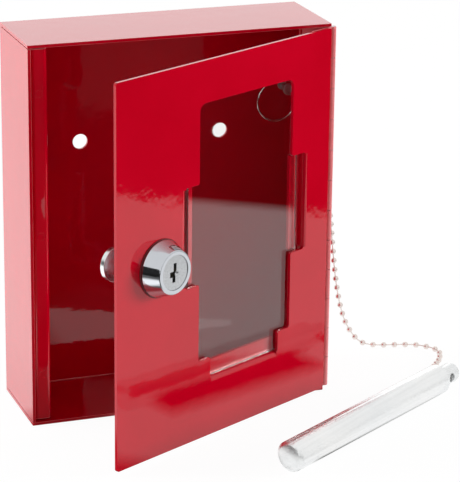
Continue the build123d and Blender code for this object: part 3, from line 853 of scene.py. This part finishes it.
def dimCorner(material, x, y):
    # the front left corner is dim, and so is the band of floor in front of the stop strip
    outside = mathNode(
        material, "MAXIMUM", (-850, -500),
        fadeNode(material, y, "cornerFront", -450), fadeNode(material, x, "cornerRight", -600))
    besideStrip = mathNode(
        material, "MAXIMUM", (-800, -1400),
        fadeNode(material, x, "stripRight", -1400), fadeNode(material, x, "stripLeft", -1550))
    offStrip = mathNode(
        material, "MAXIMUM", (-850, -1300), fadeNode(material, y, "stripBack", -1250), besideStrip)
    lit = mathNode(material, "MULTIPLY", (-700, -500), outside, offStrip)
    return rangeNode(material, lit, (-600, -500), 0, 1, mirrorFloor["corner"], 1)


def windowShade(material, x, y):
    # seen through the pane, the floor in front mirrors dark; past the pane, only its far end does
    slope = mathNode(material, "MULTIPLY_ADD", (-1200, -700), x, factor=mirrorFloor["slant"])
    material.node_tree.links.new(y, slope.node.inputs[2])
    inside = fadeNode(material, slope, "window", -760)
    farWindow = fadeNode(material, slope, "farWindow", -1560, mirrorFloor["farWindow"], 0)
    throughPane = mathNode(material, "MAXIMUM", (-650, -760), inside, farWindow)
    path = addNode(material, "ShaderNodeLightPath", (-1000, -1100))
    pane = path.outputs["Is Transmission Ray"]
    pastPane = mathNode(material, "SUBTRACT", (-800, -1100), pane, factor=1.0)
    pastPane = mathNode(material, "ABSOLUTE", (-650, -1100), pastPane)
    farOpen = fadeNode(material, slope, "farOpen", -1700, mirrorFloor["farOpen"], 1)
    pastPane = mathNode(material, "MULTIPLY", (-500, -1100), pastPane, farOpen)
    return mathNode(material, "MAXIMUM", (-500, -760), throughPane, pastPane)


def tableMirror(material):
    # how bright each place of the floor is in mirror images
    links = material.node_tree.links
    coordinates = addNode(material, "ShaderNodeTexCoord", (-1600, -400))
    split = addNode(material, "ShaderNodeSeparateXYZ", (-1400, -300))
    links.new(coordinates.outputs["Object"], split.inputs["Vector"])
    x, y = split.outputs["X"], split.outputs["Y"]
    plain = acrossTable(material, x, y)
    shade = mathNode(
        material, "MULTIPLY", (-300, -500), dimCorner(material, x, y), rodShade(material, coordinates))
    shade = mathNode(material, "MULTIPLY", (-150, -500), shade, windowShade(material, x, y))
    glow = addNode(material, "ShaderNodeEmission", (50, -300))
    links.new(mathNode(material, "MULTIPLY", (0, -500), plain, shade), glow.inputs["Strength"])
    return glow


def addFloor():
    # nearly plain paper with the shadows for the eye, and its own brightness in mirror images
    bpy.ops.mesh.primitive_plane_add(size=1.0, location=(0, 0, -paleFloor["drop"]))
    floor = bpy.context.object
    floor.name = "paleFloor"
    floor.scale = (paleFloor["size"], paleFloor["size"], 1)
    settle(floor)
    material = newMaterial(
        "paleFloor", Base_Color=paleFloor["colour"], Roughness=0.9, Specular_IOR_Level=0.0)
    nodes, links = material.node_tree.nodes, material.node_tree.links
    paper = addNode(material, "ShaderNodeEmission", (-300, 200), Strength=studioGlow["paper"])
    share = mathNode(
        material, "MULTIPLY", (-500, 300), eyeSwitch(material), factor=paleFloor["paperShare"])
    seen = addNode(material, "ShaderNodeMixShader", (0, 200))
    links.new(share, seen.inputs["Fac"])
    links.new(nodes["Principled BSDF"].outputs["BSDF"], seen.inputs[1])
    links.new(paper.outputs["Emission"], seen.inputs[2])
    mirrored = addNode(material, "ShaderNodeMixShader", (250, 0))
    links.new(mirrorSwitch(material), mirrored.inputs["Fac"])
    links.new(seen.outputs["Shader"], mirrored.inputs[1])
    links.new(tableMirror(material).outputs["Emission"], mirrored.inputs[2])
    links.new(mirrored.outputs["Shader"], nodes["Material Output"].inputs["Surface"])
    dress(floor, material)


def addCards():
    for name, plan in cards.items():
        turn = [math.radians(degrees) for degrees in plan["turn"]]
        bpy.ops.mesh.primitive_plane_add(size=1.0, location=plan["place"], rotation=turn)
        card = bpy.context.object
        card.name = name
        card.scale = (*plan["size"], 1)
        settle(card)
        dress(card, glowMaterial(name, plan["glow"]))


def addWorld():
    world = bpy.data.worlds.new("studio")
    bpy.context.scene.world = world
    world.use_nodes = True
    nodes, links = world.node_tree.nodes, world.node_tree.links
    nodes.clear()
    path = nodes.new("ShaderNodeLightPath")
    glows = []
    for name, strength in studioGlow.items():
        glow = nodes.new("ShaderNodeBackground")
        glow.name = name
        glow.inputs["Color"].default_value = grey(1)
        glow.inputs["Strength"].default_value = strength
        glows.append(glow.outputs["Background"])
    mixed = glows[0]
    for kind, glow in zip(("Is Glossy Ray", "Is Camera Ray", "Is Transmission Ray"), glows[1:]):
        mix = nodes.new("ShaderNodeMixShader")
        links.new(path.outputs[kind], mix.inputs["Fac"])
        links.new(mixed, mix.inputs[1])
        links.new(glow, mix.inputs[2])
        mixed = mix.outputs["Shader"]
    output = nodes.new("ShaderNodeOutputWorld")
    links.new(mixed, output.inputs["Surface"])


def addLamps():
    for name, lamp in softLamps.items():
        bpy.ops.object.light_add(type="AREA", location=lamp["place"])
        light = bpy.context.object
        light.name = name
        light.data.shape = "SQUARE"
        light.data.size = lamp["size"]
        light.data.energy = lamp["power"]
        light.visible_glossy = False
        away = Vector(lampAim) - Vector(lamp["place"])
        light.rotation_euler = away.to_track_quat("-Z", "Y").to_euler()
    print("lamps set")


def addStage():
    bpy.context.scene.view_settings.view_transform = "Standard"
    addFloor()
    addCards()
    addWorld()
    print("stage set")


addCamera()
finishesAndShade = {name: metalMaterial(name, **finish) for name, finish in metalFinishes.items()}
addChain(finishesAndShade["chainNickel"])
finishesAndShade.update({name: dullMaterial(name) for name in dullFinishAndShade["colours"]})
finishesAndShade["rodZinc"] = rodMaterial()
paint = paintMaterial("redPowderCoat", redPaint["dark"], redPaint["light"], redPaint["roughness"])
# the paler paint is a painted highlight for the rounded edges and the hinge leaves
edgeHighlightPaint = paintMaterial("redEdgeHighlight", redPaint["edgeHighlightDark"], redPaint["edgeHighlightLight"], redPaint["edgeRoughness"])
print("finishes mixed")
addSheetPieces(paint, edgeHighlightPaint)
addWeldDimples(paint)
addLock(finishesAndShade)
addSmallMetal(finishesAndShade)
addPane()
addStage()
addLamps()
